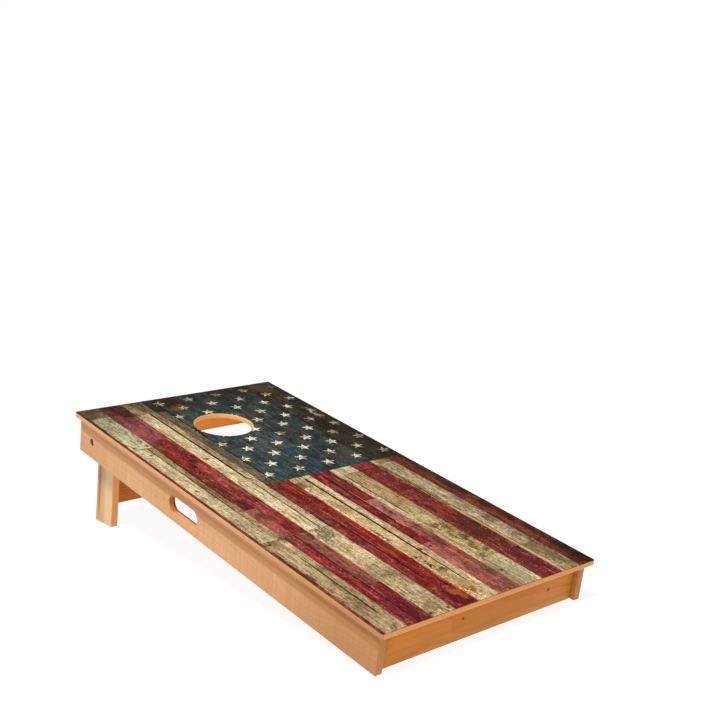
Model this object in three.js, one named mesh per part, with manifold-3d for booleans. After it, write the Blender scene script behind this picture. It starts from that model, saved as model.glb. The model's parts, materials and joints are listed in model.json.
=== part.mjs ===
// Folding cornhole board: a printed plywood deck with a round hole, on a pine
// frame with hand slots, and a pair of braced legs that fold up into the frame.
//
// Millimetres. +Z up, +Y towards the raised head end, +X to the right seen from
// the foot. The board is drawn flat, with its top surface at z = 0 and its
// centre at x = y = 0, in a group that is then tilted and stood on the ground.
import * as THREE from 'three';
import { mergeVertices } from 'three/addons/utils/BufferGeometryUtils.js';
import Module from 'manifold-3d';

const wasm = await Module();
wasm.setup();

// ---- driving dimensions ----------------------------------------------------
const GAP = 0.3; // between pieces that touch
const PAST = 5; // how far a cutter runs past the face it opens

const DECK_WIDTH = 610;
const DECK_LENGTH = 1219;
const DECK_THICKNESS = 12; // with its print
const DECK_CORNER_RADIUS = 4;
const PRINT_THICKNESS = 0.4;
const HOLE_DIAMETER = 152.4;
const HOLE_FROM_HEAD = 229;
const HOLE_ROUND = 2; // rounded upper lip of the hole

const RAIL_THICKNESS = 18;
const RAIL_HEIGHT = 89;
const SIDE_OVERHANG = 9; // deck past the frame
const END_OVERHANG = 16;
const FOOT_RAIL_SETBACK = 12; // foot rail behind the ends of the side rails

const SLOT_LENGTH = 122;
const SLOT_HEIGHT = 40;
const SLOT_Y = 93;
const SLOT_DEPTH = 59; // slot's centre below the deck's top

const CLEAT = 18; // square section
const SUPPORT_THICKNESS = 18;
const SUPPORT_HEIGHT = 64;

const LEG_WIDTH = 84;
const LEG_THICKNESS = 18;
const BLOCK_THICKNESS = 24;
const PIVOT_DEPTH = 58; // pivot below the deck's top
const BRACE_THICKNESS = 18;
const BRACE_HEIGHT = 89;
const BRACE_TOP_DEPTH = 152; // brace's upper edge below the deck's top

const HEAD_HEIGHT = 305; // ground to the deck's top edge at the head

const BOLT_DIAMETER = 8;
const BOLT_LENGTH = 70; // under the head
const BOLT_CLEARANCE = 0.3; // radial
const HEX_WIDTH = 13; // across flats, bolt head and nut
const BOLT_HEAD_HEIGHT = 5.3;
const NUT_HEIGHT = 8;
const WASHER_DIAMETER = 17;
const WASHER_THICKNESS = 1.6;
const COUNTERBORE_DIAMETER = 19;
const COUNTERBORE_DEPTH = 9;

const SCREW_DIAMETER = 4;
const SCREW_HEAD_DIAMETER = 8;
const SCREW_DRIVE = 2.4; // square recess
const DOWEL_DIAMETER = 8;
const DOWEL_LENGTH = 30;
const DOWEL_IN_SIDE = 12; // blind depth in a side rail or a leg

const ROUND_SEGMENTS = 48; // large rounds
const SMALL_SEGMENTS = 16; // screws and dowels

// ---- derived places --------------------------------------------------------
const deckUnderside = -DECK_THICKNESS;
const frameTop = deckUnderside - GAP;
const frameBottom = deckUnderside - RAIL_HEIGHT;
const railOuterX = DECK_WIDTH / 2 - SIDE_OVERHANG;
const railInnerX = railOuterX - RAIL_THICKNESS;
const frameEndY = DECK_LENGTH / 2 - END_OVERHANG;
const headRailInnerY = frameEndY - RAIL_THICKNESS;
const footRailOuterY = -frameEndY + FOOT_RAIL_SETBACK;
const footRailInnerY = footRailOuterY + RAIL_THICKNESS;
const betweenRails = railInnerX - GAP; // half-width of what fits between the side rails

const holeY = DECK_LENGTH / 2 - HOLE_FROM_HEAD;

const legRadius = LEG_WIDTH / 2;
const pivotY = headRailInnerY - GAP - legRadius; // the leg's edge rests on the head rail
const pivotZ = -PIVOT_DEPTH;
const blockOuterX = railInnerX - GAP;
const blockInnerX = blockOuterX - BLOCK_THICKNESS;
const legWasherX = blockInnerX - GAP; // outer face of the washer between block and leg
const legOuterX = legWasherX - WASHER_THICKNESS - GAP;
const legInnerX = legOuterX - LEG_THICKNESS;
const nutWasherX = legInnerX - GAP;
const nutX = nutWasherX - WASHER_THICKNESS - GAP;
const boltSeatX = railOuterX - COUNTERBORE_DEPTH;

// The frame's foot corner and the legs stand on the ground, which fixes the tilt:
// HEAD_HEIGHT = (DECK_LENGTH - END_OVERHANG) sin(tilt) + (rail and deck) cos(tilt).
const cornerToHead = DECK_LENGTH - END_OVERHANG;
const cornerDepth = -frameBottom;
const tilt = Math.asin(HEAD_HEIGHT / Math.hypot(cornerToHead, cornerDepth))
  - Math.atan2(cornerDepth, cornerToHead);
const groundDepthAt = (y) => frameBottom - (y + frameEndY) * Math.tan(tilt);

// ---- materials -------------------------------------------------------------
const wood = (color, roughness = 0.62) => new THREE.MeshStandardMaterial({ color, roughness });
const metal = (color, roughness) => new THREE.MeshStandardMaterial({ color, roughness, metalness: 1 });

const plywood = wood('#e6b983');
const printFilm = wood('#7c4a44', 0.5);
const railPine = wood('#dfac80');
const endRailPine = wood('#c27b3e');
const legPine = wood('#d9a878');
const bracePine = wood('#b8763f');
const innerPine = wood('#dcb088');
const dowelBeech = wood('#d8b58a');
const zincSteel = metal('#b9bcc0', 0.35);
const screwSteel = metal('#c8b36a', 0.4);

// ---- solids ----------------------------------------------------------------
const X_AXIS = new THREE.Vector3(1, 0, 0);
const Y_AXIS = new THREE.Vector3(0, 1, 0);
const Z_AXIS = new THREE.Vector3(0, 0, 1);

function toSolid(geometry) {
  const bare = geometry.clone();
  bare.deleteAttribute('normal');
  bare.deleteAttribute('uv');
  const merged = mergeVertices(bare);
  const triVerts = merged.index
    ? new Uint32Array(merged.index.array)
    : Uint32Array.from({ length: merged.attributes.position.count }, (_, i) => i);
  const vertProperties = new Float32Array(merged.attributes.position.array);
  return new wasm.Manifold(new wasm.Mesh({ numProp: 3, vertProperties, triVerts }));
}

function toGeometry(solid) {
  const mesh = solid.getMesh();
  const indexed = new THREE.BufferGeometry();
  indexed.setAttribute('position', new THREE.BufferAttribute(new Float32Array(mesh.vertProperties), 3));
  indexed.setIndex(new THREE.BufferAttribute(new Uint32Array(mesh.triVerts), 1));
  const geometry = indexed.toNonIndexed();
  geometry.computeVertexNormals();
  return geometry;
}

function cut(geometry, ...cutters) {
  const solid = cutters.reduce((rest, cutter) => rest.subtract(toSolid(cutter)), toSolid(geometry));
  return toGeometry(solid);
}

// A box from its low corner to its high corner.
function box(low, high) {
  const [width, depth, height] = high.map((value, i) => value - low[i]);
  const geometry = new THREE.BoxGeometry(width, depth, height);
  return geometry.translate(...high.map((value, i) => (value + low[i]) / 2));
}

// The turn that takes a solid of revolution's own axis, +Y, to a direction.
function turnFromY(direction) {
  return new THREE.Quaternion().setFromUnitVectors(Y_AXIS, direction.clone().normalize());
}

// A cylinder from one point to another.
function rod(from, to, radius, segments = SMALL_SEGMENTS) {
  const start = new THREE.Vector3(...from);
  const end = new THREE.Vector3(...to);
  const direction = end.clone().sub(start);
  const geometry = new THREE.CylinderGeometry(radius, radius, direction.length(), segments);
  geometry.applyQuaternion(turnFromY(direction));
  return geometry.translate(...start.add(end).multiplyScalar(0.5));
}

// An outline drawn as (y, z) and made solid between two distances out from the
// centre line, on one side of it.
function slabAlongX(outline, side, nearX, farX, curveSegments) {
  const settings = { depth: farX - nearX, bevelEnabled: false, curveSegments };
  const geometry = new THREE.ExtrudeGeometry(outline, settings);
  const toYZ = new THREE.Matrix4().makeBasis(Y_AXIS, Z_AXIS, X_AXIS);
  return geometry.applyMatrix4(toYZ).translate(side > 0 ? nearX : -farX, 0, 0);
}

function roundedRectangle(width, height, radius) {
  const x = width / 2;
  const y = height / 2;
  const shape = new THREE.Shape();
  shape.absarc(x - radius, y - radius, radius, 0, Math.PI / 2);
  shape.absarc(-x + radius, y - radius, radius, Math.PI / 2, Math.PI);
  shape.absarc(-x + radius, -y + radius, radius, Math.PI, 1.5 * Math.PI);
  shape.absarc(x - radius, -y + radius, radius, 1.5 * Math.PI, 2 * Math.PI);
  return shape;
}

// ---- assembly helpers ------------------------------------------------------
const board = new THREE.Group();

function add(name, geometry, material) {
  const mesh = new THREE.Mesh(geometry, material);
  mesh.name = name;
  board.add(mesh);
}

const SIDES = [['left', -1], ['right', 1]];

// The low and high corners of a box whose x runs between two distances out from
// the centre line, on one side of it.
function sideBox(side, nearX, farX, lowY, highY, lowZ, highZ) {
  const [lowX, highX] = side > 0 ? [nearX, farX] : [-farX, -nearX];
  return box([lowX, lowY, lowZ], [highX, highY, highZ]);
}

// ---- screws ----------------------------------------------------------------
const SCREW_POINT = 5;
const SCREW_HEAD_DEPTH = 2.6;
const SCREW_DRIVE_DEPTH = 1.6;

// A countersunk screw, or the hole that it needs when room is above 0. The head's
// face is at `at`, and the screw runs along `direction`.
function screwShape(at, direction, length, room) {
  const headRadius = SCREW_HEAD_DIAMETER / 2 + room;
  const shankRadius = SCREW_DIAMETER / 2 + room;
  const profile = [
    new THREE.Vector2(0, -room),
    new THREE.Vector2(headRadius, -room),
    new THREE.Vector2(headRadius, 0.3 + room),
    new THREE.Vector2(shankRadius, SCREW_HEAD_DEPTH + room),
    new THREE.Vector2(shankRadius, length - SCREW_POINT + room),
    new THREE.Vector2(0.4 + room, length + room),
    new THREE.Vector2(0, length + room),
  ];
  const geometry = new THREE.LatheGeometry(profile, SMALL_SEGMENTS);
  geometry.applyQuaternion(turnFromY(new THREE.Vector3(...direction)));
  return geometry.translate(...at);
}

function screw(at, direction, length) {
  const along = (distance) => at.map((value, i) => value + direction[i] * distance);
  const drive = rod(along(-1), along(SCREW_DRIVE_DEPTH), SCREW_DRIVE / Math.SQRT2, 4);
  return cut(screwShape(at, direction, length, 0), drive);
}

// ---- places of the fasteners -----------------------------------------------
const SCREW_SINK = 0.6; // screw heads sit just under the wood's surface
const DECK_SCREW_LENGTH = 26;
const BLOCK_SCREW_LENGTH = 36;
const BLOCK_BOTTOM_CLEARANCE = 4; // block's lower face above the rails' lower edge
const BLOCK_SCREW_EDGE = 15; // from two opposite corners of the block

const cleatBottom = frameTop - CLEAT;
const cleatCentreX = betweenRails - CLEAT / 2;
const footCleatY = footRailInnerY + GAP + CLEAT / 2;
const headCleatY = headRailInnerY - GAP - CLEAT / 2;
const blockLowY = pivotY - legRadius;
const blockHighY = headRailInnerY - GAP;
const blockLowZ = frameBottom + BLOCK_BOTTOM_CLEARANCE;
const supportHalf = SUPPORT_THICKNESS / 2;
const sideCleatSpans = {
  front: [footRailInnerY + GAP, -supportHalf - GAP],
  rear: [supportHalf + GAP, blockLowY - GAP],
};
const FOOT_CLEAT_HALF_LENGTH = 240;
const HEAD_CLEAT_HALF_LENGTH = 205; // clear of the legs
const CLEAT_SCREW_INSET = 90; // from each end of a side cleat
const END_CLEAT_SCREW_X = 130;

function sideCleatScrewPlaces(side, [lowY, highY]) {
  const x = side * cleatCentreX;
  return [lowY + CLEAT_SCREW_INSET, highY - CLEAT_SCREW_INSET].map((y) => [x, y, cleatBottom + SCREW_SINK]);
}

function endCleatScrewPlaces(y) {
  return [-END_CLEAT_SCREW_X, END_CLEAT_SCREW_X].map((x) => [x, y, cleatBottom + SCREW_SINK]);
}

const UP = [0, 0, 1];
const deckScrews = [];
for (const [sideName, side] of SIDES) {
  for (const [spanName, span] of Object.entries(sideCleatSpans)) {
    sideCleatScrewPlaces(side, span).forEach((at, i) => {
      deckScrews.push({ name: `deck_screw_${sideName}_${spanName}_${i + 1}`, at });
    });
  }
}
for (const [endName, y] of [['foot', footCleatY], ['head', headCleatY]]) {
  endCleatScrewPlaces(y).forEach((at, i) => {
    deckScrews.push({ name: `deck_screw_${endName}_${i + 1}`, at });
  });
}
const holeFor = (at, direction, length) => screwShape(at, direction, length, GAP);
const deckScrewHoles = deckScrews.map(({ at }) => holeFor(at, UP, DECK_SCREW_LENGTH));
// Opens each head's countersink out to the wood's surface.
const countersink = (at, direction) => {
  const outside = at.map((value, i) => value - direction[i] * 3);
  return rod(outside, at, SCREW_HEAD_DIAMETER / 2 + GAP);
};
const deckCountersinks = deckScrews.map(({ at }) => countersink(at, UP));

function blockScrewPlaces(side) {
  const x = side * (blockInnerX + SCREW_SINK);
  return [
    [x, blockLowY + BLOCK_SCREW_EDGE, blockLowZ + BLOCK_SCREW_EDGE],
    [x, blockHighY - BLOCK_SCREW_EDGE, frameTop - BLOCK_SCREW_EDGE],
  ];
}

function blockScrewHoles(side) {
  const outward = [side, 0, 0];
  return blockScrewPlaces(side).flatMap((at) => [
    holeFor(at, outward, BLOCK_SCREW_LENGTH),
    countersink(at, outward),
  ]);
}

// ---- deck ------------------------------------------------------------------
function deckSheet(lowZ, thickness) {
  const outline = roundedRectangle(DECK_WIDTH, DECK_LENGTH, DECK_CORNER_RADIUS);
  const settings = { depth: thickness, bevelEnabled: false, curveSegments: 6 };
  return new THREE.ExtrudeGeometry(outline, settings).translate(0, 0, lowZ);
}

function bagHole(radius) {
  return rod([0, holeY, deckUnderside - PAST], [0, holeY, PAST], radius, ROUND_SEGMENTS * 2);
}

function addDeck() {
  const plywoodSheet = deckSheet(deckUnderside, DECK_THICKNESS - PRINT_THICKNESS - GAP);
  add('deck', cut(plywoodSheet, bagHole(HOLE_DIAMETER / 2), ...deckScrewHoles), plywood);
  const film = deckSheet(-PRINT_THICKNESS, PRINT_THICKNESS);
  add('deck_print', cut(film, bagHole(HOLE_DIAMETER / 2 + HOLE_ROUND)), printFilm);
}

// ---- frame -----------------------------------------------------------------
const dowelDepths = [frameTop - 24, frameBottom + 24]; // heights of the two dowels in a corner
const footRailMidY = (footRailOuterY + footRailInnerY) / 2;
const headRailMidY = (frameEndY + headRailInnerY) / 2;

// Two dowels, one above the other, in each end of a piece that runs across. seatX
// is the inner face of the side rails or legs that they are blind in.
function dowelPairs(prefix, seatX, y, heights) {
  return SIDES.flatMap(([sideName, side]) => ['upper', 'lower'].map((level, i) => (
    { name: `${prefix}_${sideName}_${level}`, side, seatX, y, z: heights[i] }
  )));
}

// A dowel, or the hole that it needs when room is above 0.
function dowelRod({ side, seatX, y, z }, room) {
  const outerX = seatX + DOWEL_IN_SIDE;
  const from = [side * (outerX - DOWEL_LENGTH - room), y, z];
  const to = [side * (outerX + room), y, z];
  return rod(from, to, DOWEL_DIAMETER / 2 + room);
}

const frameDowels = [
  ...dowelPairs('dowel_foot', railInnerX, footRailMidY, dowelDepths),
  ...dowelPairs('dowel_head', railInnerX, headRailMidY, dowelDepths),
];
const frameDowelHoles = frameDowels.map((dowel) => dowelRod(dowel, GAP));

function addDowels(dowels) {
  for (const dowel of dowels) {
    add(dowel.name, dowelRod(dowel, 0), dowelBeech);
  }
}

function handSlot(side) {
  const half = SLOT_LENGTH / 2 - SLOT_HEIGHT / 2;
  const radius = SLOT_HEIGHT / 2;
  const shape = new THREE.Shape();
  shape.absarc(SLOT_Y + half, -SLOT_DEPTH, radius, -Math.PI / 2, Math.PI / 2);
  shape.absarc(SLOT_Y - half, -SLOT_DEPTH, radius, Math.PI / 2, 1.5 * Math.PI);
  return slabAlongX(shape, side, railInnerX - PAST, railOuterX + PAST, ROUND_SEGMENTS / 3);
}

// A rod on the pivot's axis, between two distances out from the centre line.
function onPivot(side, nearX, farX, radius, segments = ROUND_SEGMENTS / 2) {
  return rod([side * nearX, pivotY, pivotZ], [side * farX, pivotY, pivotZ], radius, segments);
}

// The bolt's hole through a piece that lies between two distances.
function boltHole(side, nearX, farX) {
  return onPivot(side, nearX - PAST, farX + PAST, BOLT_DIAMETER / 2 + BOLT_CLEARANCE);
}

function addSideRails() {
  for (const [sideName, side] of SIDES) {
    const plank = sideBox(side, railInnerX, railOuterX, -frameEndY, frameEndY, frameBottom, frameTop);
    const holes = [
      handSlot(side),
      boltHole(side, railInnerX, railOuterX),
      onPivot(side, boltSeatX, railOuterX + PAST, COUNTERBORE_DIAMETER / 2, ROUND_SEGMENTS),
      ...blockScrewHoles(side),
      ...frameDowelHoles,
    ];
    add(`side_rail_${sideName}`, cut(plank, ...holes), railPine);
  }
}

function addEndRails() {
  const foot = box([-betweenRails, footRailOuterY, frameBottom], [betweenRails, footRailInnerY, frameTop]);
  add('foot_rail', cut(foot, ...frameDowelHoles), endRailPine);
  const head = box([-betweenRails, headRailInnerY, frameBottom], [betweenRails, frameEndY, frameTop]);
  add('head_rail', cut(head, ...frameDowelHoles), endRailPine);
  addDowels(frameDowels);
}

function addInnerWood() {
  const screwed = [...deckScrewHoles, ...deckCountersinks];
  for (const [sideName, side] of SIDES) {
    for (const [spanName, [lowY, highY]] of Object.entries(sideCleatSpans)) {
      const cleat = sideBox(side, betweenRails - CLEAT, betweenRails, lowY, highY, cleatBottom, frameTop);
      add(`side_cleat_${sideName}_${spanName}`, cut(cleat, ...screwed), innerPine);
    }
  }
  const endCleat = (y, halfLength) => cut(
    box([-halfLength, y - CLEAT / 2, cleatBottom], [halfLength, y + CLEAT / 2, frameTop]),
    ...screwed,
  );
  add('foot_cleat', endCleat(footCleatY, FOOT_CLEAT_HALF_LENGTH), innerPine);
  add('head_cleat', endCleat(headCleatY, HEAD_CLEAT_HALF_LENGTH), innerPine);

  const support = box(
    [-betweenRails, -supportHalf, frameTop - SUPPORT_HEIGHT],
    [betweenRails, supportHalf, frameTop],
  );
  add('cross_support', support, innerPine);
}

function addDeckScrews() {
  for (const { name, at } of deckScrews) {
    add(name, screw(at, UP, DECK_SCREW_LENGTH), screwSteel);
  }
}

// ---- leg pivots ------------------------------------------------------------
function addPivotBlocks() {
  for (const [sideName, side] of SIDES) {
    const block = sideBox(side, blockInnerX, blockOuterX, blockLowY, blockHighY, blockLowZ, frameTop);
    const holes = [boltHole(side, blockInnerX, blockOuterX), ...blockScrewHoles(side)];
    add(`pivot_block_${sideName}`, cut(block, ...holes), innerPine);
    blockScrewPlaces(side).forEach((at, i) => {
      add(`block_screw_${sideName}_${i + 1}`, screw(at, [side, 0, 0], BLOCK_SCREW_LENGTH), screwSteel);
    });
  }
}

const hexRadius = HEX_WIDTH / Math.sqrt(3);

// A ring or a bored hexagon around the pivot, `thickness` thick, outer face at x.
function aroundBolt(side, x, thickness, radius, segments) {
  const body = onPivot(side, x - thickness, x, radius, segments);
  return cut(body, boltHole(side, x - thickness, x));
}

function addPivotHardware() {
  for (const [sideName, side] of SIDES) {
    const washerRadius = WASHER_DIAMETER / 2;
    const headWasherX = boltSeatX + GAP + WASHER_THICKNESS;
    const headX = headWasherX + GAP;
    const shank = onPivot(side, headX - BOLT_LENGTH, headX + 1, BOLT_DIAMETER / 2);
    const head = onPivot(side, headX, headX + BOLT_HEAD_HEIGHT, hexRadius, 6);
    add(`pivot_bolt_${sideName}`, toGeometry(toSolid(head).add(toSolid(shank))), zincSteel);

    const washers = [
      ['bolt_washer', headWasherX],
      ['leg_washer', legWasherX],
      ['nut_washer', nutWasherX],
    ];
    for (const [name, x] of washers) {
      const washer = aroundBolt(side, x, WASHER_THICKNESS, washerRadius, ROUND_SEGMENTS / 2);
      add(`${name}_${sideName}`, washer, zincSteel);
    }
    add(`lock_nut_${sideName}`, aroundBolt(side, nutX, NUT_HEIGHT, hexRadius, 6), zincSteel);
  }
}

// ---- legs ------------------------------------------------------------------
const braceTopZ = -BRACE_TOP_DEPTH;
const braceBottomZ = braceTopZ - BRACE_HEIGHT;
const legHeadEdgeY = pivotY + legRadius;
const legFootEdgeY = pivotY - legRadius;

function legOutline() {
  const shape = new THREE.Shape();
  shape.moveTo(legHeadEdgeY, groundDepthAt(legHeadEdgeY));
  shape.lineTo(legHeadEdgeY, pivotZ);
  shape.absarc(pivotY, pivotZ, legRadius, 0, Math.PI);
  shape.lineTo(legFootEdgeY, groundDepthAt(legFootEdgeY));
  return shape;
}

const BRACE_DOWEL_EDGE = 20; // from the brace's upper and lower edges
const braceDowelHeights = [braceTopZ - BRACE_DOWEL_EDGE, braceBottomZ + BRACE_DOWEL_EDGE];
const braceDowels = dowelPairs('brace_dowel', legInnerX, pivotY, braceDowelHeights);

function addLegFrame() {
  const dowelHoles = braceDowels.map((dowel) => dowelRod(dowel, GAP));
  for (const [sideName, side] of SIDES) {
    const leg = slabAlongX(legOutline(), side, legInnerX, legOuterX, ROUND_SEGMENTS / 2);
    const pivotHole = boltHole(side, legInnerX, legOuterX);
    add(`leg_${sideName}`, cut(leg, pivotHole, ...dowelHoles), legPine);
  }
  const brace = box(
    [-legInnerX + GAP, pivotY - BRACE_THICKNESS / 2, braceBottomZ],
    [legInnerX - GAP, pivotY + BRACE_THICKNESS / 2, braceTopZ],
  );
  add('leg_brace', cut(brace, ...dowelHoles), bracePine);
  addDowels(braceDowels);
}

addDeck();
addSideRails();
addEndRails();
addInnerWood();
addDeckScrews();
addPivotBlocks();
addPivotHardware();
addLegFrame();

// ---- stand it on the ground ------------------------------------------------
board.rotation.x = tilt;

// The deck's foot edge is the object's foremost point and the heel of the legs its
// rearmost: the origin is on the ground below the middle of the two.
const halfDeck = DECK_LENGTH / 2;
const tiltedY = (y, z) => y * Math.cos(tilt) - z * Math.sin(tilt);
const frontY = tiltedY(-halfDeck, 0);
const rearY = tiltedY(legHeadEdgeY, groundDepthAt(legHeadEdgeY));
board.position.y = -(frontY + rearY) / 2;
board.position.z = HEAD_HEIGHT - halfDeck * Math.sin(tilt);

const object = new THREE.Group();
object.add(board);
export default object;
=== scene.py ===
# Looks of a folding cornhole board: a printed plywood deck on a varnished pine
# frame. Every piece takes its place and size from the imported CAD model. Metres.
import json
import math
import random
from collections import namedtuple

import bmesh
import bpy
import numpy as np
from mathutils import Matrix, Vector
from mathutils.geometry import delaunay_2d_cdt


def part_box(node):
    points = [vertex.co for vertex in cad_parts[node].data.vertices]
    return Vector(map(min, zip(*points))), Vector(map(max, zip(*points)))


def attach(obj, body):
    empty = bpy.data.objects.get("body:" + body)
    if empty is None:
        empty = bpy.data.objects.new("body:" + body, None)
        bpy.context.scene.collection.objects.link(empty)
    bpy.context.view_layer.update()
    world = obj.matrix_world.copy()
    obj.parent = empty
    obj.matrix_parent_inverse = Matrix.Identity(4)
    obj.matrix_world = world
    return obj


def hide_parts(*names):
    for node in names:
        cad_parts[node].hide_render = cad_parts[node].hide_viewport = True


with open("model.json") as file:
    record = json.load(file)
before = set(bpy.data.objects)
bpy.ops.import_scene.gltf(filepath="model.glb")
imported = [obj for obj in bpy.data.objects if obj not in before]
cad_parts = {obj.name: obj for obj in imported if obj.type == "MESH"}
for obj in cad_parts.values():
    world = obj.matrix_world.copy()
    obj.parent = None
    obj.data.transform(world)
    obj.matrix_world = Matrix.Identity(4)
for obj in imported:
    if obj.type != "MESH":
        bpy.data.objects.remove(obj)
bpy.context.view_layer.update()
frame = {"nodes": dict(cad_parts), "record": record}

MM = 0.001
SEED = 7

# ---- the board's own frame -------------------------------------------------
# x to the right, y towards the head, z out of the deck, with its origin at the
# middle of the deck's top surface.
deck_mount = next(mount for mount in frame["record"]["mounts"] if mount["name"] == "deck_top")
TILT = -math.asin(deck_mount["axis"][1])


def node_points(node, to_local):
    """A CAD node's vertices in another frame, as an array."""
    points = np.array([tuple(vertex.co) for vertex in frame["nodes"][node].data.vertices])
    matrix = np.array(to_local)
    return points @ matrix[:3, :3].T + matrix[:3, 3]


def find_board_frame():
    """The board's own frame as a matrix, from the film's box and the tilt."""
    low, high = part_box("deck_print")
    centred = Matrix.Translation((low + high) / 2) @ Matrix.Rotation(TILT, 4, "X")
    half_film = node_points("deck_print", centred.inverted())[:, 2].max()
    return centred @ Matrix.Translation((0, 0, half_film))


BOARD = find_board_frame()
TO_BOARD = BOARD.inverted()


def local_box(node):
    """The low and high corners of a CAD node in the board's own frame."""
    points = node_points(node, TO_BOARD)
    return Vector(points.min(0)), Vector(points.max(0))


# ---- colours ---------------------------------------------------------------
def colour(code):
    """A web colour as linear red, green, blue and alpha."""
    channels = [int(code[i:i + 2], 16) / 255 for i in (1, 3, 5)]
    linear = [c / 12.92 if c <= 0.04045 else ((c + 0.055) / 1.055) ** 2.4 for c in channels]
    return (*linear, 1.0)


# ---- a short way to write shader nodes -------------------------------------
BAR_CORE = 0.7  # the share of a bar's half width that has full strength


class Shader:
    """A material and helpers that add nodes to it and return their outputs."""

    def __init__(self, name):
        self.material = bpy.data.materials.new(name)
        self.material.use_nodes = True
        self.nodes = self.material.node_tree.nodes
        self.links = self.material.node_tree.links
        self.surface = self.nodes["Principled BSDF"]

    def plug(self, value, socket):
        if isinstance(value, bpy.types.NodeSocket):
            self.links.new(value, socket)
        else:
            socket.default_value = value

    def math(self, operation, a, b=0.0):
        node = self.nodes.new("ShaderNodeMath")
        node.operation = operation
        self.plug(a, node.inputs[0])
        self.plug(b, node.inputs[1])
        return node.outputs[0]

    def add(self, a, b):
        return self.math("ADD", a, b)

    def subtract(self, a, b):
        return self.math("SUBTRACT", a, b)

    def times(self, a, b):
        return self.math("MULTIPLY", a, b)

    def length(self, a, b):
        return self.math("SQRT", self.add(self.times(a, a), self.times(b, b)))

    def step(self, value, start, end):
        """0 below start and 1 above end, or the other way round when end is below start."""
        node = self.nodes.new("ShaderNodeMapRange")
        node.interpolation_type = "SMOOTHSTEP"
        self.plug(value, node.inputs["Value"])
        self.plug(min(start, end), node.inputs["From Min"])
        self.plug(max(start, end), node.inputs["From Max"])
        self.plug(0.0 if start < end else 1.0, node.inputs["To Min"])
        self.plug(1.0 if start < end else 0.0, node.inputs["To Max"])
        return node.outputs[0]

    def place(self):
        """The point on the piece at rest, in the board's frame, as x, y, z."""
        node = self.nodes.new("ShaderNodeMapping")
        node.inputs["Location"].default_value = TO_BOARD.to_translation()
        node.inputs["Rotation"].default_value = TO_BOARD.to_euler()
        self.links.new(self.nodes.new("ShaderNodeTexCoord").outputs["Object"], node.inputs["Vector"])
        return self.split(node.outputs[0])

    def split(self, vector):
        node = self.nodes.new("ShaderNodeSeparateXYZ")
        self.plug(vector, node.inputs[0])
        return list(node.outputs)

    def join(self, x, y, z):
        node = self.nodes.new("ShaderNodeCombineXYZ")
        for value, socket in zip((x, y, z), node.inputs):
            self.plug(value, socket)
        return node.outputs[0]

    def noise(self, point, scale, offset, detail, roughness=0.5, distortion=0.0):
        """Noise with its own number of cells per metre along each axis of the point, moved
        away from other noises by the offset."""
        moved = [self.add(self.times(value, cells), offset) for value, cells in zip(point, scale)]
        node = self.nodes.new("ShaderNodeTexNoise")
        node.inputs["Scale"].default_value = 1.0
        node.inputs["Detail"].default_value = detail
        node.inputs["Roughness"].default_value = roughness
        node.inputs["Distortion"].default_value = distortion
        self.plug(self.join(*moved), node.inputs["Vector"])
        return node.outputs["Fac"]

    def spread(self, noise, width):
        """Noise within the width on either side of one half, stretched to fill 0 to 1."""
        return self.step(noise, 0.5 - width, 0.5 + width)

    def vector_math(self, operation, *values):
        node = self.nodes.new("ShaderNodeVectorMath")
        node.operation = operation
        for value, socket in zip(values, node.inputs):
            self.plug(value, socket)
        return node.outputs

    def from_centre(self, point, centre, reach):
        """The distance of a flat point from a centre, in units of the reach along x and y."""
        scale = Vector((1 / reach[0], 1 / reach[1], 0))
        shift = Vector((-centre[0] / reach[0], -centre[1] / reach[1], 0))
        about = self.vector_math("MULTIPLY_ADD", point, scale, shift)
        return self.vector_math("LENGTH", about["Vector"])["Value"]

    def bar(self, x, y, centre, reach):
        """1 inside an upright rectangle and 0 outside it, with sides that fade inwards."""
        across = self.math("ABSOLUTE", self.subtract(x, centre[0]))
        along = self.math("ABSOLUTE", self.subtract(y, centre[1]))
        return self.times(
            self.step(across, reach[0], reach[0] * BAR_CORE),
            self.step(along, reach[1], reach[1] - MM),
        )

    def mix(self, a, b, amount, blend="MIX"):
        node = self.nodes.new("ShaderNodeMix")
        node.data_type = "RGBA"
        node.blend_type = blend
        node.clamp_factor = True
        self.plug(amount, node.inputs["Factor"])
        self.plug(a, node.inputs["A"])
        self.plug(b, node.inputs["B"])
        return node.outputs["Result"]

    def attribute(self, name):
        node = self.nodes.new("ShaderNodeAttribute")
        node.attribute_name = name
        return node.outputs

    def bump(self, height, distance, strength):
        node = self.nodes.new("ShaderNodeBump")
        node.inputs["Strength"].default_value = strength
        node.inputs["Distance"].default_value = distance
        self.plug(height, node.inputs["Height"])
        self.plug(node.outputs[0], self.surface.inputs["Normal"])

    def finish(self, base, roughness, **fixed):
        self.plug(base, self.surface.inputs["Base Color"])
        self.plug(roughness, self.surface.inputs["Roughness"])
        for name, value in fixed.items():
            self.surface.inputs[name.replace("_", " ")].default_value = value
        return self.material


# ---- wood ------------------------------------------------------------------
RING_SPACING = 3.4 * MM
PITH_OFFSET = 34 * MM  # from the board's middle to the heart of the tree, square to the face
PITH_SPREAD = 60 * MM  # the range of its place across the face, from seed to seed
PITH_DRIFT = (0.11, 0.03)  # metres that it wanders along the grain, across the face and through
RING_WAVER = 1.5  # in rings
KNOT_SWIRL = 3.5  # extra rings round a knot
SEED_SHIFT = 13.7  # cells of noise between one seed and the next
PORES = (0.02, 0.008, 0.003, 1)
KNOT_DARK = "#4e1e06"
KNOT_LIGHT = "#84400f"
WOOD_SHEEN = 0.2

# A mark on wood, a stain or a band of painted shade: its middle and its reach, along and across the grain,
# then its looks.
Mark = namedtuple("Mark", "along across reach_along reach_across tint strength")


def along_grain(point, grain, face):
    """The point as (along the grain, across the wide face, through the thickness)."""
    names = "xyz"
    thin = names.index(face)
    long = names.index(grain)
    wide = 3 - thin - long
    return point[long], point[wide], point[thin]


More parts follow.
